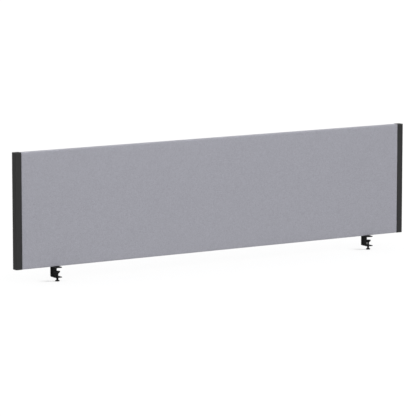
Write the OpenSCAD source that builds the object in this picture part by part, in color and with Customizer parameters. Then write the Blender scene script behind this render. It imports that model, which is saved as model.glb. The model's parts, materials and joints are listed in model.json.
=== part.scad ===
// Desk privacy panel: a fabric-wrapped board between two end posts, held on the
// rear edge of a desk by two screw clamps.
// Frame: +X along the panel, -Y towards the desk and its user, +Z up.
// Origin: the middle of the panel's underside. All sizes are in millimetres.

/* [Panel] */
// Length over the end posts
panel_w = 1600; // [1400:100:2000]
// Height without the clamps
panel_h = 400; // [300:10:600]
// Thickness over the end posts, front to back
panel_t = 25; // [24:0.5:30]
// How far the end posts stand proud of the fabric on each face
post_proud = 0.25; // [0.1:0.05:1]
// Thickness of the fabric
fabric_t = 0.8; // [0.5:0.1:1.2]
// Thickness of the foam sheet on each face of the board
foam_t = 2.4; // [1.6:0.2:4]
// Outer radius of the fabric where it turns over the long edges
fabric_r = 3; // [2:0.5:4]

/* [Hems and staples] */
// Width of the gap between the two hems under the board
hem_gap = 10; // [8:1:11]
// Distance between neighbouring staples
staple_pitch = 100; // [80:10:150]
// Width of a staple's crown
staple_w = 10; // [8:1:12]
// Length of a staple's legs
staple_leg = 8; // [6:1:10]
// Width of the staple wire
staple_wire = 1.2; // [0.8:0.1:1.4]
// Thickness of the staple wire
staple_t = 0.5; // [0.4:0.1:0.5]

/* [End posts] */
// Width of a post seen from the front
post_w = 24; // [20:1:40]
// Wall thickness of the extruded post
post_wall = 1.6; // [1.2:0.1:2.2]
// Outer corner radius of the post
post_r = 2.5; // [2.4:0.1:4]
// Length of the tongue that goes into the board
tongue_l = 14; // [8:1:16]
// Thickness of that tongue
tongue_t = 2; // [1.5:0.1:3]
// Thickness of a cap's visible plate
cap_t = 2; // [1.5:0.5:4]
// Length of the cap's plug inside the post
plug_l = 10; // [6:1:20]

/* [Clamp brackets] */
// Distance between the two clamps, centre to centre
clamp_span = 1290; // [800:10:1290]
// Width of the bent steel bracket
bracket_w = 24; // [22:1:40]
// Distance from the panel's rear face forward to the back of the bracket
bracket_inset = 2.4; // [0:0.2:4]
// Depth of the bracket from its back to the jaw tips
bracket_d = 40; // [38:1:60]
// Height of the bracket
bracket_h = 37; // [36:1:60]
// Thickness of the bracket's steel
plate_t = 3; // [2.5:0.5:4]
// Inner radius of the bends
bend_r = 1; // [0.5:0.5:3]
// Radius of the jaw corners seen from above
tip_r = 1; // [0.5:0.5:8]
// Thickness of the rubber liner under the upper jaw
liner_t = 0.5; // [0.5:0.1:2]
// Distance between the two fixing screws of a bracket
fixing_pitch = 12; // [11:0.5:13]
// Thread diameter of the fixing screws
fixing_d = 4; // [3:0.5:4]

/* [Clamp screws] */
// Distance from the jaw tips back to the screw's axis
axis_back = 12; // [11:0.5:14]
// Outside diameter of the screw thread
thread_d = 8; // [6:1:8]
// Diameter of the pressure pad
pad_d = 19.5; // [18:0.5:22]
// Height of the pad with its cushion
pad_h = 9; // [8:0.5:10]
// Distance of the pad's face below the panel, as drawn
pad_drop = 15; // [10:0.5:20]
// Diameter of the knob
knob_d = 15; // [14:0.5:24]
// Height of the knob
knob_h = 4.5; // [4.5:0.5:8]
// Gap between the lower jaw and the knob, as drawn
knob_gap = 8.5; // [2:0.5:12]

/* [Hidden] */
$fn = 64;

LEFT = -1;
RIGHT = 1;

fit_gap = 0.05;               // clearance between parts that press or glue together
run_gap = 0.05;               // radial clearance of a shaft that turns
butt_gap = 0.1;               // gap where two parts meet end to end
over = 1;                     // how far a cut runs past the face it opens

// Panel
body_w = panel_w - 2 * post_w;                   // length between the posts
cover_t = panel_t - 2 * post_proud;              // thickness over the fabric
inner_t = cover_t - 2 * fabric_t - 2 * fit_gap;  // thickness inside the fabric
board_t = inner_t - 2 * foam_t;
inner_h = panel_h - 2 * fabric_t - 2 * fit_gap;
inner_z = fabric_t + fit_gap;                    // underside of the board
inner_r = fabric_r - fabric_t - fit_gap;
inner_w = body_w - 2 * butt_gap;
hem_y = (hem_gap / 2 + cover_t / 2 - fabric_r) / 2 + fit_gap;
staple_count = floor((inner_w / 2 - staple_w) / staple_pitch);
kerf_spare = 1;                                  // free depth beyond the tongue's tip

// End posts
post_x = (panel_w - post_w) / 2;
cavity_w = post_w - 2 * post_wall;
cavity_t = panel_t - 2 * post_wall;
cavity_r = max(post_r - post_wall, 0.4);
plug_wall = 2;

// Brackets and their fixings
clamp_x = clamp_span / 2;
back_y = panel_t / 2 - bracket_inset;
tip_y = back_y - bracket_d;
axis_y = tip_y + axis_back;
bend_out = bend_r + plate_t;
head_d = 2 * fixing_d;
head_cone = (head_d - fixing_d) / 2;
head_land = 0.3;                                 // straight rim of a countersunk head
fixing_l = 12;
fixing_hex = 2.5;
hex_depth = 1.6;
insert_d = fixing_d + 3;
insert_l = fixing_l;
liner_w = bracket_w - 4;
liner_y = [tip_y + 1, -head_d / 2 - 1.5];        // front and rear edges of the liner
liner_r = 2;

// Clamp screw
bush_d = thread_d + 3;
bush_flange_d = thread_d + 6;
bush_flange_t = 0.8;
cushion_t = 1;
cushion_inset = 0.3;
pad_top = -pad_drop - cushion_t;
pad_base = -pad_drop - pad_h;
pad_rim = 2.6;
pad_foot_d = thread_d + 1;
recess_d = 12;
recess_depth = 3;
spigot_d = thread_d - 2;
spigot_top = pad_top - 0.8;
clip_t = 0.7;
clip_d = 10;
clip_z = pad_top - recess_depth + run_gap;
groove_d = spigot_d - 1;
knob_base = -bracket_h - knob_gap - knob_h;      // underside of the knob
spindle_end = knob_base + 0.3;
socket_hex = 4;
socket_depth = 4;
knob_rim = 3.6;
knob_hub_d = thread_d + 2;
flute_count = 12;
flute_r = 1;

cloth_grey = "#9e9ea6";
foam_white = "#e8e6de";
board_brown = "#b08d63";
charcoal = "#393939";
black_steel = "#262626";
bright_steel = "#a9abad";
brass_yellow = "#b79a52";
black_rubber = "#1c1c1c";
black_plastic = "#222222";

// ---- Shared shapes ----

// A rectangle about the origin with round corners
module rounded_rect(w, h, r) {
    square([w - 2 * r, h], center = true);
    square([w, h - 2 * r], center = true);
    for (x = [-1, 1], y = [-1, 1])
        translate([x * (w / 2 - r), y * (h / 2 - r)]) circle(r);
}

// Extrudes a (Y, Z) outline along X, about X = 0
module along_x(length) {
    rotate([90, 0, 90]) linear_extrude(length, center = true) children();
}

// A panel cross-section that stands on height z
module section(t, h, z, r) {
    translate([0, z + h / 2]) rounded_rect(t, h, r);
}

module at_clamp(side) {
    translate([side * clamp_x, 0, 0]) children();
}

// Both fixing screw places of one bracket
module at_fixings() {
    for (x = [-1, 1]) translate([x * fixing_pitch / 2, 0, 0]) children();
}

module at_screw_axis(z) {
    translate([0, axis_y, z]) children();
}

module hexagon(across_flats, h) {
    cylinder(h = h, d = across_flats / cos(30), $fn = 6);
}

// ---- Panel ----

// Every staple, each grown by g on all sides where it makes its own slot
module staples(g) {
    for (i = [-staple_count : staple_count], y = [-1, 1])
        translate([i * staple_pitch, y * hem_y, 0]) {
            translate([-staple_w / 2 - g, -staple_wire / 2 - g, -g])
                cube([staple_w + 2 * g, staple_wire + 2 * g, staple_t + 2 * g]);
            for (x = [-1, 1])
                translate([x * (staple_w - staple_t) / 2, 0, staple_leg / 2])
                    cube([staple_t + 2 * g, staple_wire + 2 * g, staple_leg + 2 * g],
                         center = true);
        }
}

// The blind hole of one threaded insert
module insert_pocket() {
    translate([0, 0, inner_z - over])
        cylinder(h = insert_l + over + fit_gap, d = insert_d + 2 * fit_gap);
}

module kerf(side) {
    translate([side * (body_w / 2 - tongue_l / 2), 0, panel_h / 2])
        cube([tongue_l + 2 * kerf_spare, tongue_t + 2 * fit_gap, panel_h], center = true);
}

module core_board() {
    color(board_brown) difference() {
        translate([-inner_w / 2, -board_t / 2, inner_z]) cube([inner_w, board_t, inner_h]);
        for (side = [LEFT, RIGHT]) {
            kerf(side);
            at_clamp(side) at_fixings() insert_pocket();
        }
        staples(fit_gap);
    }
}

// One foam sheet: the part of the padded section on one side of the board
module foam_sheet(side) {
    along_x(inner_w) intersection() {
        section(inner_t, inner_h, inner_z, inner_r);
        translate([side * (board_t + foam_t) / 2, panel_h / 2])
            square([foam_t, panel_h], center = true);
    }
}

module front_foam() {
    color(foam_white) foam_sheet(-1);
}

module rear_foam() {
    color(foam_white) foam_sheet(1);
}

module fabric_cover() {
    color(cloth_grey) difference() {
        along_x(inner_w) difference() {
            section(cover_t, panel_h, 0, fabric_r);
            section(cover_t - 2 * fabric_t, panel_h - 2 * fabric_t, fabric_t,
                    fabric_r - fabric_t);
            square([hem_gap, 4 * fabric_t], center = true);
        }
        staples(fit_gap);
    }
}

module fabric_staples() {
    color(bright_steel) staples(0);
}

// Tape over the gap between the hems, in three lengths that stop at the brackets
module seam_tape() {
    tape_w = hem_gap - 2 * butt_gap;
    stop = bracket_w / 2 + butt_gap;
    outer_l = inner_w / 2 - clamp_x - stop;
    color(cloth_grey) {
        translate([-clamp_x + stop, -tape_w / 2, 0])
            cube([2 * (clamp_x - stop), tape_w, fabric_t]);
        for (side = [LEFT, RIGHT])
            translate([side * (clamp_x + stop + outer_l / 2), 0, fabric_t / 2])
                cube([outer_l, tape_w, fabric_t], center = true);
    }
}

// ---- End posts ----

module end_post(side) {
    color(charcoal) translate([side * post_x, 0, cap_t])
        linear_extrude(panel_h - 2 * cap_t) {
            difference() {
                rounded_rect(post_w, panel_t, post_r);
                rounded_rect(cavity_w, cavity_t, cavity_r);
            }
            translate([-side * (post_w + tongue_l - post_wall) / 2, 0])
                square([tongue_l + post_wall, tongue_t], center = true);
        }
}

// A cap that closes a post's lower end, with its hollow plug upwards
module post_cap() {
    linear_extrude(cap_t) rounded_rect(post_w, panel_t, post_r);
    translate([0, 0, cap_t - fit_gap]) linear_extrude(plug_l) difference() {
        plug_w = cavity_w - 2 * fit_gap;
        plug_d = cavity_t - 2 * fit_gap;
        rounded_rect(plug_w, plug_d, cavity_r);
        rounded_rect(plug_w - 2 * plug_wall, plug_d - 2 * plug_wall, cavity_r);
    }
}

module top_cap(side) {
    color(charcoal) translate([side * post_x, 0, panel_h]) rotate([180, 0, 0]) post_cap();
}

module bottom_cap(side) {
    color(charcoal) translate([side * post_x, 0, 0]) post_cap();
}

module left_end_post() { end_post(LEFT); }
module left_top_cap() { top_cap(LEFT); }
module left_bottom_cap() { bottom_cap(LEFT); }
module right_end_post() { end_post(RIGHT); }
module right_top_cap() { top_cap(RIGHT); }
module right_bottom_cap() { bottom_cap(RIGHT); }

// ---- Clamp brackets ----

// Side view of the bent plate, open towards the desk
module bracket_side() {
    front_spare = 2 * bend_out;
    mid = [back_y - (bracket_d + front_spare) / 2, -bracket_h / 2];
    difference() {
        translate(mid) rounded_rect(bracket_d + front_spare, bracket_h, bend_out);
        translate([mid[0] - plate_t, mid[1]])
            rounded_rect(bracket_d + front_spare, bracket_h - 2 * plate_t, bend_r);
    }
}

// Seen from above: square at the web, round at the jaw tips
module bracket_plan() {
    translate([0, (tip_y + back_y) / 2]) rounded_rect(bracket_w, bracket_d, tip_r);
    translate([-bracket_w / 2, axis_y]) square([bracket_w, back_y - axis_y]);
}

// A countersunk screw's outline, head down, grown by g where it makes its own hole
module fixing_shape(g) {
    translate([0, 0, -plate_t - over])
        cylinder(h = over + head_land, d = head_d + 2 * g);
    translate([0, 0, -plate_t + head_land])
        cylinder(h = head_cone, d1 = head_d + 2 * g, d2 = fixing_d + 2 * g);
    translate([0, 0, -plate_t]) cylinder(h = fixing_l, d = fixing_d + 2 * g);
}

module bracket(side) {
    color(black_steel) at_clamp(side) difference() {
        intersection() {
            along_x(bracket_w) bracket_side();
            translate([0, 0, -bracket_h]) linear_extrude(bracket_h) bracket_plan();
        }
        at_fixings() fixing_shape(fit_gap);
        at_screw_axis(-bracket_h - over)
            cylinder(h = plate_t + 2 * over, d = bush_d + 2 * fit_gap);
    }
}

module inserts(side) {
    color(brass_yellow) at_clamp(side) at_fixings() translate([0, 0, inner_z])
        difference() {
            cylinder(h = insert_l, d = insert_d);
            translate([0, 0, -over])
                cylinder(h = insert_l + 2 * over, d = fixing_d + 2 * fit_gap);
        }
}

module bracket_screws(side) {
    color(bright_steel) at_clamp(side) at_fixings() difference() {
        intersection() {
            fixing_shape(0);
            translate([0, 0, -plate_t]) cylinder(h = 2 * fixing_l, d = head_d + over);
        }
        translate([0, 0, -plate_t - over]) hexagon(fixing_hex, over + hex_depth);
    }
}

module jaw_liner(side) {
    length = liner_y[1] - liner_y[0];
    color(black_rubber) at_clamp(side)
        translate([0, (liner_y[0] + liner_y[1]) / 2, -plate_t - liner_t])
            linear_extrude(liner_t) rounded_rect(liner_w, length, liner_r);
}

// Flanged nut pressed into the lower jaw from above
module thread_bush(side) {
    color(bright_steel) at_clamp(side) at_screw_axis(-bracket_h) difference() {
        union() {
            cylinder(h = plate_t + bush_flange_t, d = bush_d);
            translate([0, 0, plate_t]) cylinder(h = bush_flange_t, d = bush_flange_d);
        }
        translate([0, 0, -over])
            cylinder(h = plate_t + bush_flange_t + 2 * over, d = thread_d + 2 * run_gap);
    }
}

module left_bracket() { bracket(LEFT); }
module left_inserts() { inserts(LEFT); }
module left_bracket_screws() { bracket_screws(LEFT); }
module left_jaw_liner() { jaw_liner(LEFT); }
module left_thread_bush() { thread_bush(LEFT); }
module right_bracket() { bracket(RIGHT); }
module right_inserts() { inserts(RIGHT); }
module right_bracket_screws() { bracket_screws(RIGHT); }
module right_jaw_liner() { jaw_liner(RIGHT); }
module right_thread_bush() { thread_bush(RIGHT); }

// ---- Clamp screws ----

// Wide flat face on a cone, bored for the spindle's spigot and its clip
module pressure_pad(side) {
    color(black_plastic) at_clamp(side) at_screw_axis(0) difference() {
        rotate_extrude() polygon([
            [0, pad_base], [pad_foot_d / 2, pad_base],
            [pad_d / 2, pad_top - pad_rim], [pad_d / 2, pad_top], [0, pad_top]
        ]);
        translate([0, 0, pad_top - recess_depth])
            cylinder(h = recess_depth + over, d = recess_d);
        translate([0, 0, pad_base - over])
            cylinder(h = pad_h + over, d = spigot_d + 2 * run_gap);
    }
}

module pad_cushion(side) {
    color(black_rubber) at_clamp(side) at_screw_axis(pad_top)
        cylinder(h = cushion_t, d = pad_d - 2 * cushion_inset);
}

// Threaded spindle: a spigot and clip groove above, a hex socket below
module spindle(side) {
    shoulder = pad_base - run_gap;
    color(bright_steel) at_clamp(side) at_screw_axis(0) difference() {
        union() {
            translate([0, 0, spindle_end])
                cylinder(h = shoulder - spindle_end, d = thread_d);
            translate([0, 0, shoulder])
                cylinder(h = spigot_top - shoulder, d = spigot_d);
        }
        translate([0, 0, clip_z - fit_gap]) difference() {
            cylinder(h = clip_t + 2 * fit_gap, d = thread_d);
            translate([0, 0, -over])
                cylinder(h = clip_t + 2 * over, d = groove_d);
        }
        translate([0, 0, spindle_end - over]) hexagon(socket_hex, socket_depth + over);
    }
}

// Open retaining ring in the spindle's groove
module spindle_clip(side) {
    mouth = groove_d * 0.7;
    color(bright_steel) at_clamp(side) at_screw_axis(clip_z) difference() {
        cylinder(h = clip_t, d = clip_d);
        translate([0, 0, -over])
            cylinder(h = clip_t + 2 * over, d = groove_d + 2 * fit_gap);
        translate([-mouth / 2, 0, -over]) cube([mouth, clip_d, clip_t + 2 * over]);
    }
}

// Fluted disc with a conical hub, fixed on the spindle's lower end
module knob(side) {
    color(black_plastic) at_clamp(side) at_screw_axis(knob_base) difference() {
        rotate_extrude() polygon([
            [thread_d / 2 + fit_gap, 0], [knob_d / 2, 0], [knob_d / 2, knob_rim],
            [knob_hub_d / 2, knob_h], [thread_d / 2 + fit_gap, knob_h]
        ]);
        for (i = [0 : flute_count - 1])
            rotate(i * 360 / flute_count)
                translate([knob_d / 2 + flute_r / 2, 0, -over])
                    cylinder(h = knob_h + 2 * over, r = flute_r);
    }
}

module left_pressure_pad() { pressure_pad(LEFT); }
module left_pad_cushion() { pad_cushion(LEFT); }
module left_spindle() { spindle(LEFT); }
module left_spindle_clip() { spindle_clip(LEFT); }
module left_knob() { knob(LEFT); }
module right_pressure_pad() { pressure_pad(RIGHT); }
module right_pad_cushion() { pad_cushion(RIGHT); }
module right_spindle() { spindle(RIGHT); }
module right_spindle_clip() { spindle_clip(RIGHT); }
module right_knob() { knob(RIGHT); }

core_board();
front_foam();
rear_foam();
fabric_cover();
fabric_staples();
seam_tape();
left_end_post();
left_top_cap();
left_bottom_cap();
right_end_post();
right_top_cap();
right_bottom_cap();
left_bracket();
left_inserts();
left_bracket_screws();
left_jaw_liner();
left_thread_bush();
left_pressure_pad();
left_pad_cushion();
left_spindle();
left_spindle_clip();
left_knob();
right_bracket();
right_inserts();
right_bracket_screws();
right_jaw_liner();
right_thread_bush();
right_pressure_pad();
right_pad_cushion();
right_spindle();
right_spindle_clip();
right_knob();
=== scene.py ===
"""Looks of the desk privacy panel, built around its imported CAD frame.

Lengths are metres in the CAD's own frame: +X along the panel, -Y towards the desk's
user, +Z up, with z = 0 at the panel's underside.
"""

import json
import math

import bpy
import numpy as np
from mathutils import Matrix, Vector

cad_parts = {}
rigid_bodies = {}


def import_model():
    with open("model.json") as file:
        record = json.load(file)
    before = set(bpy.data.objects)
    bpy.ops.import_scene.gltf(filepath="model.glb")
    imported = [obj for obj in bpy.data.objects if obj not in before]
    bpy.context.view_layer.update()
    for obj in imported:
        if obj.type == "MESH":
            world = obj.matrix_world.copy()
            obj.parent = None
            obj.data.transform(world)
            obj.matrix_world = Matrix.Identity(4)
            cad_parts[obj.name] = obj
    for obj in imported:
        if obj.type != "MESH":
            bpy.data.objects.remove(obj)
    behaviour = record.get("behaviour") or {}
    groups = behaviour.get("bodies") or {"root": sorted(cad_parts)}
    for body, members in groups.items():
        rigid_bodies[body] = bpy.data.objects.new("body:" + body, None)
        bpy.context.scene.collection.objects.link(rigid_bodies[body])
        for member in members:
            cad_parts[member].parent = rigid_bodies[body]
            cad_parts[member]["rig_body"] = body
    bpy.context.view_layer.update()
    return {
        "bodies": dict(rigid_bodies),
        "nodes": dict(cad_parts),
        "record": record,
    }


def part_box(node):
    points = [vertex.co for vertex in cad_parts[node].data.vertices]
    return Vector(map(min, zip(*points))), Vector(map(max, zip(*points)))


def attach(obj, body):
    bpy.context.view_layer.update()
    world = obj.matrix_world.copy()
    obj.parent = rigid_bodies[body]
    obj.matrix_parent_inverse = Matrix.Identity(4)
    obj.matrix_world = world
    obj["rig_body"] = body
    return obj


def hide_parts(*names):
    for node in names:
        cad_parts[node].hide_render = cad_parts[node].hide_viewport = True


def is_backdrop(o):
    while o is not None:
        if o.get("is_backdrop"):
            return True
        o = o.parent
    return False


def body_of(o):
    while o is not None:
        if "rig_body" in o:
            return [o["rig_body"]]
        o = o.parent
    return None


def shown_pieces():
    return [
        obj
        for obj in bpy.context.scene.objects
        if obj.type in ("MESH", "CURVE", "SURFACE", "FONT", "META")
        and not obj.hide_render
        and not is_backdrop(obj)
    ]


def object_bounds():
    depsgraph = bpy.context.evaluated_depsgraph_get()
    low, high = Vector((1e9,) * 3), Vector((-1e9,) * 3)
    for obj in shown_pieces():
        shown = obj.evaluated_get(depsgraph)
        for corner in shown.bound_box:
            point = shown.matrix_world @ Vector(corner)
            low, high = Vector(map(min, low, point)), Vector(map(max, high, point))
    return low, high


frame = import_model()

MM = 0.001
SIDES = ("left", "right")


# ---------------------------------------------------------------- material helpers


class Shader:
    """A node-based material, with short calls that add linked nodes."""

    def __init__(self, name):
        self.material = bpy.data.materials.new(name)
        self.material.use_nodes = True
        self.tree = self.material.node_tree
        self.surface = self.tree.nodes["Principled BSDF"]
        self.place = self.tree.nodes.new("ShaderNodeTexCoord").outputs["Object"]

    def feed(self, socket, value):
        """Links value to the socket if it is another node's output, or stores it."""
        if isinstance(value, bpy.types.NodeSocket):
            self.tree.links.new(value, socket)
        else:
            socket.default_value = value

    def node(self, kind, inputs, **settings):
        node = self.tree.nodes.new(kind)
        for name, value in settings.items():
            setattr(node, name, value)
        for name, value in inputs.items():
            self.feed(node.inputs[name], value)
        return node

    def math(self, operation, a, b=0.0, clamp=False):
        made = self.node("ShaderNodeMath", {0: a, 1: b}, operation=operation, use_clamp=clamp)
        return made.outputs[0]

    def noise(self, scale, vector=None, detail=2.0, roughness=0.5):
        inputs = {"Vector": vector or self.place, "Scale": scale, "Detail": detail,
                  "Roughness": roughness}
        return self.node("ShaderNodeTexNoise", inputs).outputs["Fac"]

    def stretched(self, scale, vector=None):
        """The place scaled differently along each axis."""
        inputs = {"Vector": vector or self.place, "Scale": scale}
        return self.node("ShaderNodeMapping", inputs).outputs["Vector"]

    def spread(self, factor, low, high):
        """Maps 0..1 to low..high."""
        inputs = {"Value": factor, "To Min": low, "To Max": high}
        return self.node("ShaderNodeMapRange", inputs).outputs["Result"]

    def mix(self, factor, a, b, blend="MIX"):
        made = self.node("ShaderNodeMix", {}, data_type="RGBA", blend_type=blend)
        self.feed(made.inputs[0], factor)
        self.feed(made.inputs[6], a)
        self.feed(made.inputs[7], b)
        return made.outputs[2]

    def shade(self, colour, amount):
        """Multiplies a colour by a grey amount."""
        grey = self.node("ShaderNodeCombineColor", {0: amount, 1: amount, 2: amount})
        return self.mix(1.0, colour, grey.outputs[0], "MULTIPLY")

    def bump(self, height, distance, strength=1.0, under=None):
        inputs = {"Height": height, "Distance": distance, "Strength": strength}
        if under is not None:
            inputs["Normal"] = under
        return self.node("ShaderNodeBump", inputs).outputs["Normal"]

    def edges(self, radius):
        """1 along convex and concave edges, 0 on flat stretches."""
        soft = self.node("ShaderNodeBevel", {"Radius": radius}, samples=4).outputs["Normal"]
        flat = self.tree.nodes.new("ShaderNodeNewGeometry").outputs["Normal"]
        likeness = self.node("ShaderNodeVectorMath", {0: soft, 1: flat}, operation="DOT_PRODUCT")
        return self.math("MULTIPLY", self.math("SUBTRACT", 1.0, likeness.outputs["Value"]), 6.0,
                         clamp=True)

    def finish(self, **inputs):
        """Sets the surface's own inputs, named with _ for spaces, and returns the material."""
        for name, value in inputs.items():
            self.feed(self.surface.inputs[name.replace("_", " ")], value)
        return self.material


def grey(value, blue=1.0):
    return (value, value, value * blue, 1.0)


# ---------------------------------------------------------------- materials


def woven_cloth(name, thread, dark, light, relief):
    """Plain weave of twisted two-tone yarn, laid out by the mesh's UVs in metres."""
    s = Shader(name)
    uv = s.tree.nodes.new("ShaderNodeUVMap").outputs["UV"]
    split = s.node("ShaderNodeSeparateXYZ", {0: uv})
    drift = s.node("ShaderNodeTexNoise", {"Vector": uv, "Scale": 140.0}).outputs["Color"]
    sway = s.node("ShaderNodeSeparateXYZ", {0: drift})

    def in_threads(axis):
        """Position counted in threads, which don't lie quite straight."""
        straight = s.math("DIVIDE", split.outputs[axis], thread)
        return s.math("ADD", straight, s.math("MULTIPLY", sway.outputs[axis], 0.8))

    def ridge(position):
        return s.math("ABSOLUTE", s.math("SINE", s.math("MULTIPLY", position, math.pi)))

    def yarn(side, length, bow):
        """Height of one yarn: round across it, bowed over and under the yarns it crosses,
        and ribbed by its twist."""
        number = s.math("FLOOR", side)
        phase = s.math("MULTIPLY", s.math("ADD", length, number), math.pi)
        wave = s.math("MULTIPLY", s.math("SINE", phase), bow)
        turn = s.math("ADD", s.math("MULTIPLY", side, 2.0), s.math("MULTIPLY", length, 3.0))
        ribs = s.math("MULTIPLY", ridge(turn), 0.08)
        crown = s.math("MULTIPLY", s.math("POWER", ridge(side), 0.55), 0.7)
        return number, s.math("ADD", s.math("ADD", crown, ribs), wave)

    along, across = in_threads(0), in_threads(1)
    column, warp = yarn(along, across, 0.2)
    row, weft = yarn(across, along, -0.2)
    warp_on_top = s.math("GREATER_THAN", warp, weft)
    height = s.math("MAXIMUM", warp, weft)

    def slub(thread_number, position, seed):
        """Slow change of tone along one yarn, different on every yarn."""
        place = s.node("ShaderNodeCombineXYZ", {0: s.math("MULTIPLY", thread_number, 7.31),
                                                1: s.math("MULTIPLY", position, 0.11), 2: seed})
        return s.noise(1.0, place.outputs[0], detail=3.0, roughness=0.6)

    of_warp, of_weft = slub(column, across, 1.7), slub(row, along, 8.3)
    tone = s.math("ADD", s.math("MULTIPLY", of_warp, warp_on_top),
                  s.math("MULTIPLY", of_weft, s.math("SUBTRACT", 1.0, warp_on_top)))
    fibre = s.noise(9000.0, detail=1.0)
    cloud = s.noise(22.0, detail=3.0)
    lit = s.spread(s.math("ADD", s.math("MULTIPLY", tone, 0.8), s.math("MULTIPLY", fibre, 0.2)),
                   -0.5, 1.5)
    colour = s.mix(s.math("MAXIMUM", s.math("MINIMUM", lit, 1.0), 0.0), dark, light)
    colour = s.shade(colour, s.spread(cloud, 0.975, 1.025))
    # Painted shade in the gaps between the yarns, and a painted highlight on their crowns.
    colour = s.shade(colour, s.spread(height, 0.66, 1.1))
    normal = s.bump(height, relief)
    normal = s.bump(fibre, relief * 0.3, under=normal)
    return s.finish(Base_Color=colour, Roughness=s.spread(fibre, 0.82, 0.96), Normal=normal,
                    Specular_IOR_Level=0.18, Sheen_Weight=0.12, Sheen_Roughness=0.5)


def coated_metal(name, colour, roughness, peel, grain, gloss):
    """Powder coat: slow orange peel under a fine grain; edges shinier, and lighter as worn thin and
    from a painted highlight.
    """
    s = Shader(name)
    slow = s.noise(420.0, detail=3.0)
    fine = s.noise(3800.0, detail=2.0)
    edge = s.edges(0.7 * MM)
    tint = s.shade(colour, s.spread(s.noise(60.0), 0.92, 1.08))
    # Lighter along edges: partly the coat worn thin, partly a painted highlight.
    tint = s.shade(tint, s.spread(edge, 1.0, 1.35))
    normal = s.bump(slow, peel)
    normal = s.bump(fine, grain, under=normal)
    rough = s.math("SUBTRACT", s.spread(slow, roughness - 0.05, roughness + 0.06),
                   s.math("MULTIPLY", edge, 0.08))
    return s.finish(Base_Color=tint, Roughness=rough, Normal=normal, Specular_IOR_Level=gloss)


def moulded_plastic(name, colour, roughness, grain_size, relief):
    """Spark-eroded mould texture with slightly polished edges."""
    s = Shader(name)
    cells = s.node("ShaderNodeTexVoronoi", {"Vector": s.place, "Scale": 1.0 / grain_size})
    pits = s.math("ADD", cells.outputs["Distance"], s.noise(0.7 / grain_size, detail=3.0))
    edge = s.edges(0.4 * MM)
    tint = s.shade(colour, s.spread(s.noise(140.0, detail=3.0), 0.9, 1.1))
    rough = s.math("SUBTRACT", s.spread(pits, roughness - 0.06, roughness + 0.06),
                   s.math("MULTIPLY", edge, 0.12))
    return s.finish(Base_Color=tint, Roughness=rough, Normal=s.bump(pits, relief),
                    Specular_IOR_Level=0.4)


def soft_rubber(name, colour):
    """Matt rubber with a dusty bloom."""
    s = Shader(name)
    bloom = s.noise(260.0, detail=4.0, roughness=0.65)
    pores = s.noise(5200.0, detail=2.0)
    tint = s.shade(colour, s.spread(bloom, 0.75, 1.5))
    return s.finish(Base_Color=tint, Roughness=s.spread(bloom, 0.68, 0.88),
                    Normal=s.bump(pores, 0.03 * MM), Specular_IOR_Level=0.3)


def bare_metal(name, colour, roughness, lines, metallic=1.0):
    """Turned or drawn metal: fine lines round the vertical axis, and handling marks."""
    s = Shader(name)
    tool_marks = s.noise(1.0, s.stretched((300.0, 300.0, lines)), detail=2.0)
    stain = s.noise(180.0, detail=4.0, roughness=0.6)
    edge = s.edges(0.25 * MM)
    tint = s.shade(colour, s.spread(stain, 0.82, 1.15))
    # Lighter along edges: partly wear, partly a painted highlight.
    tint = s.shade(tint, s.spread(edge, 1.0, 1.5))
    return s.finish(Base_Color=tint, Metallic=metallic, Normal=s.bump(tool_marks, 0.008 * MM),
                    Roughness=s.spread(stain, roughness - 0.08, roughness + 0.12))


def fibreboard(name):
    """Pressed wood fibre, in chips and fibres of darker and lighter brown."""
    s = Shader(name)
    chips = s.node("ShaderNodeTexVoronoi",
                   {"Vector": s.stretched((350.0, 900.0, 700.0)), "Scale": 1.0})
    fibre = s.noise(1.0, s.stretched((900.0, 2600.0, 1800.0)), detail=5.0, roughness=0.7)
    tone = s.math("ADD", s.math("MULTIPLY", chips.outputs["Distance"], 0.5),
                  s.math("MULTIPLY", fibre, 0.6))
    colour = s.mix(tone, (0.26, 0.155, 0.075, 1.0), (0.58, 0.41, 0.24, 1.0))
    return s.finish(Base_Color=colour, Roughness=0.85, Normal=s.bump(tone, 0.12 * MM),
                    Specular_IOR_Level=0.2)


def open_foam(name):
    """Open-cell polyurethane foam."""
    s = Shader(name)
    cells = s.node("ShaderNodeTexVoronoi", {"Vector": s.place, "Scale": 1400.0},
                   feature="DISTANCE_TO_EDGE").outputs["Distance"]
    colour = s.mix(s.noise(30.0, detail=3.0), (0.78, 0.75, 0.64, 1.0), (0.86, 0.84, 0.76, 1.0))
    # Painted shade: darker towards the middle of each cell, where the pores sink in.
    colour = s.shade(colour, s.spread(s.math("MULTIPLY", cells, 3.0, clamp=True), 1.0, 0.7))
    return s.finish(Base_Color=colour, Roughness=0.95, Normal=s.bump(cells, -0.3 * MM),
                    Subsurface_Weight=0.15, Specular_IOR_Level=0.1)


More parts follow.
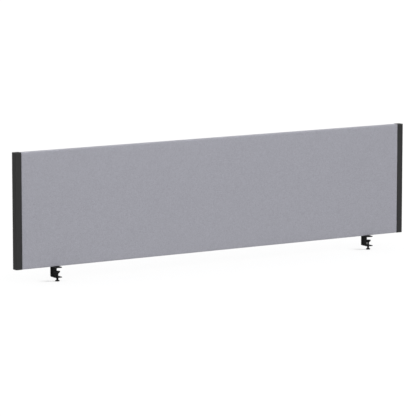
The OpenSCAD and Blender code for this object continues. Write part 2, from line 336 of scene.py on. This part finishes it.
FINISHES = {
    "fabric": woven_cloth("grey_cloth", 0.9 * MM, grey(0.268, 1.12), grey(0.499, 1.12), 0.16 * MM),
    "tape": woven_cloth("grey_webbing", 0.6 * MM, grey(0.20, 1.1), grey(0.38, 1.1), 0.12 * MM),
    "foam": open_foam("open_foam"),
    "board": fibreboard("fibreboard"),
    "post_coating": coated_metal("charcoal_coat", grey(0.031), 0.6, 0.05 * MM, 0.012 * MM, 0.22),
    "cap_plastic": moulded_plastic("charcoal_plastic", grey(0.03), 0.6, 0.35 * MM, 0.02 * MM),
    "bracket_coating": coated_metal("black_coat", grey(0.0055), 0.48, 0.08 * MM, 0.05 * MM, 0.25),
    "black_steel": bare_metal("black_oxide", grey(0.05), 0.42, 9000.0, 0.85),
    "plated_steel": bare_metal("zinc_plate", (0.56, 0.57, 0.6, 1.0), 0.3, 6000.0),
    "brass": bare_metal("turned_brass", (0.72, 0.52, 0.22, 1.0), 0.28, 7000.0),
    "rubber": soft_rubber("black_rubber", grey(0.012)),
    "black_plastic": moulded_plastic("black_plastic", grey(0.014), 0.42, 0.3 * MM, 0.018 * MM),
}
SLOT_OF = {row["node"]: row["material_slot"] for row in frame["record"]["subparts"]}


# ---------------------------------------------------------------- mesh helpers


def sheet_mesh(name, points, wrap_rows=False, wrap_columns=False, caps=False, uv=None):
    """Quads over a grid of points (rows, columns, 3). The rows or the columns may close on
    themselves, and caps close the first and last row with one flat face each."""
    rows, columns = points.shape[:2]
    index = np.arange(rows * columns).reshape(rows, columns)
    if wrap_rows:
        index = np.vstack([index, index[:1]])
    if wrap_columns:
        index = np.hstack([index, index[:, :1]])
    corners = [index[:-1, :-1], index[1:, :-1], index[1:, 1:], index[:-1, 1:]]
    faces = np.stack(corners, axis=-1).reshape(-1, 4).tolist()
    if caps:
        faces.append(list(range(columns)))
        faces.append(list(range((rows - 1) * columns, rows * columns))[::-1])
    mesh = bpy.data.meshes.new(name)
    mesh.from_pydata(points.reshape(-1, 3).tolist(), [], faces)
    mesh.shade_smooth()
    if uv is not None:
        layer = mesh.uv_layers.new(name="UVMap")
        flat = uv.reshape(-1, 2)
        for loop in mesh.loops:
            layer.data[loop.index].uv = flat[loop.vertex_index]
    piece = bpy.data.objects.new(name, mesh)
    bpy.context.scene.collection.objects.link(piece)
    return piece


def turn_outward(piece):
    """Makes every face of a closed mesh look outward."""
    import bmesh
    work = bmesh.new()
    work.from_mesh(piece.data)
    bmesh.ops.recalc_face_normals(work, faces=work.faces)
    work.to_mesh(piece.data)
    work.free()


def stand_for(piece, node):
    """piece takes the place, the body and the finish of a CAD node."""
    slot = SLOT_OF[node]
    piece.data.materials.clear()
    piece.data.materials.append(FINISHES[slot])
    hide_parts(node)
    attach(piece, body_of(frame["nodes"][node])[0])
    return piece


def crease_by_angle(piece, degrees):
    """Smooth shading that stays sharp at edges above the angle."""
    piece.data.set_sharp_from_angle(angle=math.radians(degrees))


def fillet_loop(corners, steps=4):
    """A closed outline from (a, b, radius) corners, each turned into an arc."""
    outline = []
    for i, (a, b, radius) in enumerate(corners):
        here = Vector((a, b))
        before = (Vector(corners[i - 1][:2]) - here).normalized()
        after = (Vector(corners[(i + 1) % len(corners)][:2]) - here).normalized()
        half = before.angle(after) / 2
        if radius <= 0 or half > math.radians(89):
            outline.append(here)
            continue
        reach = radius / math.tan(half)
        centre = here + (before + after).normalized() * (radius / math.sin(half))
        start, end = here + before * reach - centre, here + after * reach - centre
        sweep = start.angle_signed(end)
        for k in range(steps + 1):
            outline.append(centre + Matrix.Rotation(-sweep * k / steps, 2) @ start)
    return outline


def revolved(name, outline, axis, segments, shape=None, solid=False):
    """Turns a (radius, z) outline round the vertical line through axis. The outline closes
    on itself, or, if solid, it runs from the middle of one end to the middle of the other.
    shape(angle, radius, z) may change each point's radius."""
    rings = []
    for radius, z in outline:
        ring = []
        for k in range(segments):
            angle = 2 * math.pi * k / segments
            r = shape(angle, radius, z) if shape else radius
            ring.append((axis[0] + r * math.cos(angle), axis[1] + r * math.sin(angle), z))
        rings.append(ring)
    piece = sheet_mesh(name, np.array(rings), wrap_rows=not solid, wrap_columns=True, caps=solid)
    turn_outward(piece)
    return piece


def middle(node):
    low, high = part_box(node)
    return (low + high) / 2


# ---------------------------------------------------------------- panel cloth and padding

HEM_LIFT = 0.2 * MM       # the cloth is pressed up this far, so the staples stand on it
CLOTH_T = 0.8 * MM
CORNER_R = 3.0 * MM
CELL = 13 * MM            # size of the cloth's grid before its subdivision
TUCK = 0.35 * MM          # how far the cloth dips where it meets a post
FOLD = 2.2 * MM           # how far it turns in there, over the ends of the foam


def wrap_outline(half_y, top, radius, hem_y, cell):
    """(y, z) points from the front hem, round the outside of the board, to the rear hem."""
    points = [Vector((-hem_y, HEM_LIFT))]
    arc_steps = 6

    def line_to(y, z):
        start, end = points[-1], Vector((y, z))
        count = max(1, round((end - start).length / cell))
        points.extend(start.lerp(end, (k + 1) / count) for k in range(count))

    def arc(y, z, first, last):
        for k in range(1, arc_steps + 1):
            a = math.radians(first + (last - first) * k / arc_steps)
            points.append(Vector((y + radius * math.cos(a), z + radius * math.sin(a))))

    flat_y, low_z, high_z = half_y - radius, HEM_LIFT + radius, top - radius
    line_to(-flat_y, HEM_LIFT)
    arc(-flat_y, low_z, 270, 180)
    line_to(-half_y, high_z)
    arc(-flat_y, high_z, 180, 90)
    line_to(flat_y, top)
    arc(flat_y, high_z, 90, 0)
    line_to(half_y, low_z)
    arc(flat_y, low_z, 0, -90)
    line_to(hem_y, HEM_LIFT)
    return points


def stations(low, high, cell, fine):
    """Positions from low to high, with extra ones close to both ends."""
    count = round((high - low) / cell)
    even = [low + (high - low) * k / count for k in range(1, count)]
    near = [low] + [low + f for f in fine if f < even[0] - low]
    return near + even + [high + low - x for x in reversed(near)]


def relax_as_cloth(sheet, pinned, pressure, most, frames):
    """Runs Blender's cloth on the sheet and keeps the result, no point further than most
    from where it started."""
    scene = bpy.context.scene
    group = sheet.vertex_groups.new(name="held")
    group.add(pinned, 1.0, "REPLACE")
    cloth = sheet.modifiers.new("cloth", "CLOTH")
    settings = cloth.settings
    settings.quality = 6
    settings.mass = 0.2
    settings.tension_stiffness = settings.compression_stiffness = 60
    settings.shear_stiffness = 30
    settings.bending_stiffness = 2
    settings.vertex_group_mass = "held"
    settings.use_pressure = True
    settings.uniform_pressure_force = pressure
    settings.effector_weights.gravity = 0
    cloth.point_cache.frame_start, cloth.point_cache.frame_end = 1, frames
    for number in range(1, frames + 1):
        scene.frame_set(number)
    done = sheet.evaluated_get(bpy.context.evaluated_depsgraph_get()).data
    rest = np.array([v.co for v in sheet.data.vertices])
    moved = np.array([v.co for v in done.vertices]) - rest
    length = np.linalg.norm(moved, axis=1, keepdims=True)
    kept = most * np.tanh(length / most)
    result = rest + moved * kept / np.maximum(length, 1e-9)
    sheet.modifiers.remove(cloth)
    sheet.vertex_groups.remove(group)
    sheet.data.vertices.foreach_set("co", result.astype(np.float32).ravel())
    sheet.data.update()
    scene.frame_set(1)


def fabric_cover():
    low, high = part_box("fabric_cover")
    tape_low, tape_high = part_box("seam_tape")
    hem_y = tape_high.y + 0.1 * MM
    outline = wrap_outline(high.y, high.z, CORNER_R, hem_y, CELL)
    xs = stations(low.x, high.x, CELL, (1.2 * MM, 2.6 * MM, 5 * MM))
    wrap = np.array([(p.x, p.y) for p in outline])
    ahead = np.gradient(wrap, axis=0)
    inward = np.stack([ahead[:, 1], -ahead[:, 0]], axis=1)
    inward /= np.linalg.norm(inward, axis=1, keepdims=True)
    travelled = np.concatenate([[0], np.cumsum(np.linalg.norm(np.diff(wrap, axis=0), axis=1))])
    on_hem = (wrap[:, 1] < CORNER_R / 2)
    upright = np.where(on_hem, 0.0, inward[:, 0] ** 2)
    last = len(xs) + 1
    points = np.zeros((last + 1, len(wrap), 3))
    uv = np.zeros((last + 1, len(wrap), 2))
    for i, x in enumerate([xs[0]] + xs + [xs[-1]]):
        from_end = min(x - low.x, high.x - x)
        outward = math.copysign(1.0, x)
        dip = TUCK * math.exp(-((from_end / (2.2 * MM)) ** 2)) + 0.25 * MM
        turned_in = FOLD * upright if i in (0, last) else 0 * upright
        shift = 0.4 * MM * (1 - upright) if i in (1, last - 1) else 0 * upright
        depth = np.where(on_hem, 0.0, dip + turned_in)
        points[i, :, 0] = x - outward * shift
        points[i, :, 1:] = wrap + inward * depth[:, None]
        uv[i, :, 0], uv[i, :, 1] = x + outward * (turned_in - shift), travelled
    sheet = sheet_mesh("fabric_cover_cloth", points, uv=uv)
    columns = len(wrap)
    pinned = [r * columns + c for r in range(last + 1) for c in range(columns)
              if r in (0, 1, last - 1, last) or on_hem[c]]
    relax_as_cloth(sheet, pinned, pressure=3.0, most=0.35 * MM, frames=12)
    body = sheet.modifiers.new("thickness", "SOLIDIFY")
    body.thickness, body.offset = CLOTH_T, -1.0
    body.use_even_offset = True
    smooth = sheet.modifiers.new("smooth", "SUBSURF")
    smooth.levels = smooth.render_levels = 1
    return stand_for(sheet, "fabric_cover")


def foam_sheet(node):
    """A thin foam sheet with softly uneven faces and rounded outer edges."""
    low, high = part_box(node)
    outward = 1 if middle(node).y > 0 else -1
    inner, outer = sorted((low.y, high.y), key=abs)
    thick = abs(outer - inner)
    spare = 0.6 * MM
    edge = 1.6 * MM
    outline = fillet_loop([
        (inner, low.z, 0), (outer - outward * spare, low.z, edge),
        (outer - outward * spare, high.z, edge), (inner, high.z, 0)], steps=4)
    room = CLOTH_T + 0.2 * MM     # at each end, for the cloth that turns in
    xs = stations(low.x + room, high.x - room, 20 * MM, (2 * MM, 6 * MM))
    points = np.zeros((len(xs), len(outline), 3))
    for i, x in enumerate(xs):
        for j, (y, z) in enumerate(outline):
            wave = math.sin(37 * x + 11 * z) * math.sin(23 * x - 29 * z)
            away = abs(y - inner) / thick
            points[i, j] = (x, y + outward * away * 0.1 * MM * wave, z)
    piece = sheet_mesh(node + "_padding", points, wrap_columns=True, caps=True)
    turn_outward(piece)
    return stand_for(piece, node)


def seam_tape():
    """Three lengths of webbing with a low crown and a raised selvedge on each side."""
    node = frame["nodes"]["seam_tape"]
    low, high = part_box("seam_tape")
    ends = sorted({round(v.co.x, 6) for v in node.data.vertices})
    outline_y = np.linspace(low.y, high.y, 15)
    across = (outline_y - low.y) / (high.y - low.y) * 2 - 1
    crown = 0.12 * MM * (1 - across ** 2) + 0.10 * MM * np.exp(-((abs(across) - 0.9) / 0.06) ** 2)
    under = -crown
    points, faces, uv = [], [], []
    top_z = high.z
    for start, end in zip(ends[0::2], ends[1::2]):
        for x in np.linspace(start, end, max(2, round((end - start) / (15 * MM)))):
            first = len(points)
            for y, z in zip(outline_y, under):
                points.append((x, y, z))
                uv.append((x, y))
            points.append((x, high.y, top_z))
            points.append((x, low.y, top_z))
            uv += [(x, high.y + 0.001), (x, low.y - 0.001)]
            width = len(outline_y) + 2
            ring = [first + k for k in range(width)]
            if x > start:
                back = [k - width for k in ring]
                for k in range(width):
                    n = (k + 1) % width
                    faces.append((back[k], ring[k], ring[n], back[n]))
            else:
                faces.append(ring[::-1])
            if x == end:
                faces.append(ring)
    mesh = bpy.data.meshes.new("seam_tape_webbing")
    mesh.from_pydata(points, [], faces)
    layer = mesh.uv_layers.new(name="UVMap")
    for loop in mesh.loops:
        layer.data[loop.index].uv = uv[loop.vertex_index]
    mesh.shade_smooth()
    piece = bpy.data.objects.new("seam_tape_webbing", mesh)
    bpy.context.scene.collection.objects.link(piece)
    turn_outward(piece)
    crease_by_angle(piece, 40)
    return stand_for(piece, "seam_tape")


# ---------------------------------------------------------------- clamp mouldings

THREAD_PITCH = 1.25 * MM
THREAD_DEPTH = 0.62 * MM


def pressure_pad(side):
    node = side + "_pressure_pad"
    low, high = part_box(node)
    axis = middle(node)
    radius = (high.x - low.x) / 2
    bore, foot, recess = 3.05 * MM, 4.5 * MM, 6.0 * MM
    step = high.z - 3.0 * MM
    rim = high.z - 2.6 * MM
    outline = fillet_loop([
        (bore, low.z, 0.2 * MM), (foot, low.z, 0.5 * MM), (foot + 0.6 * MM, low.z + 1.2 * MM, 1.5 * MM),
        (radius - 0.9 * MM, rim - 0.5 * MM, 1.0 * MM), (radius, rim, 0.4 * MM),
        (radius, high.z, 0.45 * MM), (recess, high.z, 0.2 * MM), (recess, step, 0.3 * MM),
        (bore, step, 0.2 * MM)])
    piece = revolved(node + "_moulding", outline, axis, 72)
    crease_by_angle(piece, 50)
    return stand_for(piece, node)


def pad_cushion(side):
    """Rubber disc with a rounded rim and three concentric grip rings."""
    node = side + "_pad_cushion"
    low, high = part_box(node)
    radius = (high.x - low.x) / 2
    rim, groove, ridge = 0.4 * MM, 0.35 * MM, 0.55 * MM
    floor_z = high.z - groove
    profile = [(radius - 0.15 * MM, low.z), (radius, low.z + 0.15 * MM)]
    for k in range(6):
        turn = math.radians(18 * k)
        profile.append((radius - rim + rim * math.cos(turn), high.z - rim + rim * math.sin(turn)))
    for share in (0.78, 0.55, 0.32):
        r = radius * share
        profile += [(r + 2.2 * ridge, high.z), (r + 1.7 * ridge, floor_z), (r + ridge, floor_z),
                    (r + 0.5 * ridge, high.z)]
    profile.append((0.5 * MM, high.z))
    piece = revolved(node + "_rubber", profile, middle(node), 72, solid=True)
    crease_by_angle(piece, 60)
    return stand_for(piece, node)


def jaw_liner(side):
    """Rubber slab under the upper jaw, with grooves across it and round corners."""
    node = side + "_jaw_liner"
    low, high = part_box(node)
    centre = middle(node)
    half_x, half_y = (high.x - low.x) / 2, (high.y - low.y) / 2
    corner, groove, grooves = 2.0 * MM, 0.2 * MM, 7
    across = np.linspace(-1, 1, 8 * grooves + 1)
    dip = groove * np.maximum(0, np.cos(across * grooves * math.pi)) ** 2
    rounding = 0.2 * MM * np.maximum(0, abs(across) - 0.96) / 0.04
    loop = [(y, low.z + d + r) for y, d, r in zip(across, dip, rounding)]
    loop += [(1, high.z), (-1, high.z)]
    steps = [corner * (1 - math.cos(math.radians(a))) for a in (0, 15, 30, 45, 60, 75, 90)]
    xs = [low.x + 0.05 * MM + s for s in steps] + [high.x - 0.05 * MM - s for s in reversed(steps)]
    points = np.zeros((len(xs), len(loop), 3))
    for i, x in enumerate(xs):
        inset = max(0.0, corner - (half_x - abs(x - centre.x)))
        reach = half_y - corner + math.sqrt(max(corner ** 2 - inset ** 2, 0.0))
        for j, (y, z) in enumerate(loop):
            points[i, j] = (x, centre.y + y * reach, z)
    piece = sheet_mesh(node + "_rubber", points, wrap_columns=True, caps=True)
    turn_outward(piece)
    crease_by_angle(piece, 40)
    return stand_for(piece, node)


def spindle(side):
    """Spindle with a real helical thread, a spigot with its clip groove, and a hex socket."""
    node = side + "_spindle"
    low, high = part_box(node)
    knob_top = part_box(side + "_knob")[1].z
    pad_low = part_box(side + "_pressure_pad")[0].z
    clip_low, clip_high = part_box(side + "_spindle_clip")
    axis = middle(node)
    major = (high.x - low.x) / 2 - 0.02 * MM
    minor = major - THREAD_DEPTH
    spigot, groove = 3.0 * MM, 2.5 * MM
    shoulder = pad_low - 0.05 * MM
    socket = 2.0 * MM
    segments = 48
    round_shape, hex_shape = 0, 1

    rings = [(socket, low.z + 4 * MM, hex_shape), (socket, low.z + 0.2 * MM, hex_shape),
             (socket + 0.25 * MM, low.z, hex_shape), (major - 0.8 * MM, low.z, round_shape),
             (major - 0.2 * MM, low.z + 0.5 * MM, round_shape),
             (major - 0.05 * MM, low.z + 0.8 * MM, round_shape),
             (major - 0.05 * MM, knob_top - 1.0 * MM, round_shape)]
    thread_low, thread_high = knob_top - 0.9 * MM, shoulder - 0.7 * MM
    turns = int((thread_high - thread_low) / THREAD_PITCH * 10)
    for k in range(turns + 1):
        rings.append((None, thread_low + (thread_high - thread_low) * k / turns, round_shape))
    rings += [(minor, shoulder - 0.35 * MM, round_shape), (minor, shoulder - 0.05 * MM, round_shape),
              (minor - 0.15 * MM, shoulder, round_shape), (spigot - 0.02 * MM, shoulder, round_shape),
              (spigot - 0.02 * MM, clip_low.z - 0.06 * MM, round_shape),
              (groove, clip_low.z - 0.05 * MM, round_shape),
              (groove, clip_high.z + 0.05 * MM, round_shape),
              (spigot - 0.02 * MM, clip_high.z + 0.06 * MM, round_shape),
              (spigot - 0.02 * MM, high.z - 0.4 * MM, round_shape),
              (spigot - 0.4 * MM, high.z, round_shape)]

    def thread_radius(angle, z):
        phase = (z / THREAD_PITCH - angle / (2 * math.pi)) % 1.0
        flank = (abs(2 * phase - 1) - 0.2) / 0.65
        flank = min(1.0, max(0.0, flank))
        ends = min(1.0, (thread_high - z) / (0.8 * MM), (z - thread_low) / (0.3 * MM) + 0.4)
        return minor + (major - minor) * flank * max(0.0, ends)

    points = np.zeros((len(rings), segments, 3))
    for i, (radius, z, shape) in enumerate(rings):
        for k in range(segments):
            angle = 2 * math.pi * k / segments
            r = thread_radius(angle, z) if radius is None else radius
            if shape == hex_shape:
                r /= math.cos((angle % (math.pi / 3)) - math.pi / 6)
            points[i, k] = (axis.x + r * math.cos(angle), axis.y + r * math.sin(angle), z)
    piece = sheet_mesh(node + "_threaded", points, wrap_columns=True, caps=True)
    turn_outward(piece)
    crease_by_angle(piece, 35)
    return stand_for(piece, node)


def knob(side):
    """Flat fluted disc with a short hub, all edges softened as a moulding's are."""
    node = side + "_knob"
    low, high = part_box(node)
    axis = middle(node)
    radius = (high.x - low.x) / 2
    bore, hub, flutes = 4.05 * MM, 5.0 * MM, 12
    outline = fillet_loop([
        (bore, low.z + 0.3 * MM, 0.1 * MM), (bore + 0.7 * MM, low.z, 0.3 * MM),
        (radius, low.z, 0.5 * MM), (radius, low.z + 3.6 * MM, 0.5 * MM),
        (hub + 0.6 * MM, high.z - 0.4 * MM, 0.4 * MM), (hub, high.z, 0.2 * MM),
        (bore, high.z, 0.1 * MM)], steps=5)

    def fluted(angle, r, z):
        depth = 0.6 * MM * max(0.0, math.cos(angle * flutes)) ** 2
        near_rim = min(1.0, max(0.0, (r - hub - 0.8 * MM) / (1.0 * MM)))
        return r - depth * near_rim

    piece = revolved(node + "_moulding", outline, axis, flutes * 12, fluted)
    crease_by_angle(piece, 50)
    return stand_for(piece, node)


# ---------------------------------------------------------------- CAD parts that stay


def soften(node, width, segments=2):
    """A CAD part keeps its shape; modifiers round its sharp edges a little."""
    part = frame["nodes"][node]
    weld = part.modifiers.new("weld", "WELD")
    weld.merge_threshold = 0.001 * MM
    flats = part.modifiers.new("flats", "DECIMATE")
    flats.decimate_type = "DISSOLVE"
    flats.angle_limit = math.radians(0.5)
    round_over = part.modifiers.new("edges", "BEVEL")
    round_over.width, round_over.segments = width, segments
    round_over.limit_method, round_over.angle_limit = "ANGLE", math.radians(35)
    round_over.use_clamp_overlap = True
    shading = part.modifiers.new("shading", "WEIGHTED_NORMAL")
    shading.mode, shading.weight = "FACE_AREA", 90
    part.data.shade_smooth()


def paint_cad_parts():
    for node, part in frame["nodes"].items():
        part.data.materials.clear()
        part.data.materials.append(FINISHES[SLOT_OF[node]])
    for side in SIDES:
        soften(side + "_end_post", 0.3 * MM)
        soften(side + "_top_cap", 0.5 * MM, 3)
        soften(side + "_bottom_cap", 0.5 * MM, 3)
        soften(side + "_bracket", 0.45 * MM, 3)
        soften(side + "_bracket_screws", 0.12 * MM)
        soften(side + "_thread_bush", 0.2 * MM)
        soften(side + "_spindle_clip", 0.1 * MM)
        soften(side + "_inserts", 0.15 * MM)
    soften("fabric_staples", 0.15 * MM)
    soften("core_board", 0.3 * MM)


# ---------------------------------------------------------------- studio

CAMERA_PLACE = (-5.3188, -8.5344, 1.6278)
CAMERA_YAW = 31.788      # degrees from +Y towards +X
CAMERA_DOWN = 8.3605     # degrees below the horizon
CAMERA_LENS = 249.82      # millimetres, on a 36 mm sensor
SKY = 0.68                # light from above the horizon
GROUND_GLOW = 0.36        # light from below it, in place of the floor's own bounce
KEY = 1.05
TOP = 27.0
FILL = 0.65
FLOOR_LIGHT = 7.0
FLOOR_GLOW = 0.4          # the floor is a backlit white sweep


def camera():
    data = bpy.data.cameras.new("photo_view")
    data.sensor_width, data.lens = 36.0, CAMERA_LENS
    data.clip_end = 100.0
    view = bpy.data.objects.new("photo_view", data)
    view.location = CAMERA_PLACE
    view.rotation_euler = (math.radians(90 - CAMERA_DOWN), 0, -math.radians(CAMERA_YAW))
    bpy.context.scene.collection.objects.link(view)
    bpy.context.scene.camera = view


def sun(name, heading, elevation, softness, power):
    """Light from far away. heading is in degrees from -Y towards +X, softness is how wide
    the light looks, and power is the light that falls on a face turned towards it."""
    data = bpy.data.lights.new(name, "SUN")
    data.energy, data.angle = power, math.radians(softness)
    light = bpy.data.objects.new(name, data)
    light.rotation_euler = (math.radians(90 - elevation), 0, math.radians(heading))
    bpy.context.scene.collection.objects.link(light)
    return light


def softbox(name, place, target, size, power):
    """A round soft light at a place, turned towards a target."""
    data = bpy.data.lights.new(name, "AREA")
    data.shape, data.size, data.energy = "DISK", size, power
    light = bpy.data.objects.new(name, data)
    light.location = place
    light.rotation_euler = (Vector(target) - Vector(place)).to_track_quat("-Z", "Y").to_euler()
    bpy.context.scene.collection.objects.link(light)
    return light


def floor():
    """A pale floor under the knobs. It follows whichever knob is lower, so that the object
    stands on it at every pose."""
    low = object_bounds()[0]
    reach = 60.0
    corners = np.array([[(-reach, -reach, 0), (reach, -reach, 0)],
                        [(-reach, reach, 0), (reach, reach, 0)]], float)
    plate = sheet_mesh("studio_floor", corners)
    plate.data.flip_normals()
    paper = Shader("white_sweep")
    plate.data.materials.append(paper.finish(
        Base_Color=grey(0.3), Roughness=0.9, Specular_IOR_Level=0.0, Emission_Color=grey(1.0),
        Emission_Strength=FLOOR_GLOW))
    plate.visible_diffuse = plate.visible_glossy = False
    plate.location.z = low.z
    drive = plate.driver_add("location", 2).driver
    drive.type = "SCRIPTED"
    for side in SIDES:
        drop = drive.variables.new()
        drop.name, drop.type = side, "TRANSFORMS"
        drop.targets[0].id = frame["bodies"][side + "_screw"]
        drop.targets[0].transform_type = "LOC_Z"
        drop.targets[0].transform_space = "WORLD_SPACE"
    drive.expression = f"min(left, right) + {low.z:.6f}"
    plate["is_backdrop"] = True
    return plate


def world():
    """White all round. It lights the object less from below the horizon than from above."""
    made = bpy.data.worlds.new("studio")
    made.use_nodes = True
    nodes, links = made.node_tree.nodes, made.node_tree.links
    split = nodes.new("ShaderNodeSeparateXYZ")
    links.new(nodes.new("ShaderNodeTexCoord").outputs["Generated"], split.inputs[0])
    fade = nodes.new("ShaderNodeMapRange")
    fade.interpolation_type = "SMOOTHSTEP"
    links.new(split.outputs["Z"], fade.inputs["Value"])
    ends = {"From Min": -0.8, "From Max": 0.8, "To Min": GROUND_GLOW, "To Max": SKY}
    for name, value in ends.items():
        fade.inputs[name].default_value = value
    shown = nodes.new("ShaderNodeMath")
    shown.operation = "MAXIMUM"
    links.new(fade.outputs["Result"], shown.inputs[0])
    links.new(nodes.new("ShaderNodeLightPath").outputs["Is Camera Ray"], shown.inputs[1])
    nodes["Background"].inputs["Color"].default_value = grey(1.0)
    links.new(shown.outputs[0], nodes["Background"].inputs["Strength"])
    bpy.context.scene.world = made


def group_of(name, members):
    made = bpy.data.collections.new(name)
    for member in members:
        made.objects.link(member)
    return made


def studio(plate):
    """Soft light all round, a key on the object alone, and a light on the floor alone that
    only the clamps cast a shadow in."""
    bpy.context.scene.view_settings.view_transform = "Standard"
    world()
    key = sun("key", 30, 30, 40, KEY)
    top = softbox("top", (-0.35, -1.8, 2.9), (0, 0, 0.2), 1.5, TOP)
    on_object = group_of("lit_by_key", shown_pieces())
    for light in (key, top):
        light.light_linking.receiver_collection = on_object
    top.visible_glossy = False
    fill = sun("fill", -80, 15, 60, FILL)
    ends = [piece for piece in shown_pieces() if piece.name.endswith(("_end_post", "_cap"))]
    fill.light_linking.receiver_collection = group_of("lit_by_fill", ends)
    low = sun("floor_light", 90 - CAMERA_YAW, 40, 30, FLOOR_LIGHT)
    low.light_linking.receiver_collection = group_of("lit_by_floor_light", [plate])
    screws = [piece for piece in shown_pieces() if (body_of(piece) or ["panel"])[0] != "panel"]
    low.light_linking.blocker_collection = group_of("shadow_on_floor", screws)


paint_cad_parts()
fabric_cover()
seam_tape()
for sheet in ("front_foam", "rear_foam"):
    foam_sheet(sheet)
for side in SIDES:
    jaw_liner(side)
    pressure_pad(side)
    pad_cushion(side)
    spindle(side)
    knob(side)
camera()
studio(floor())
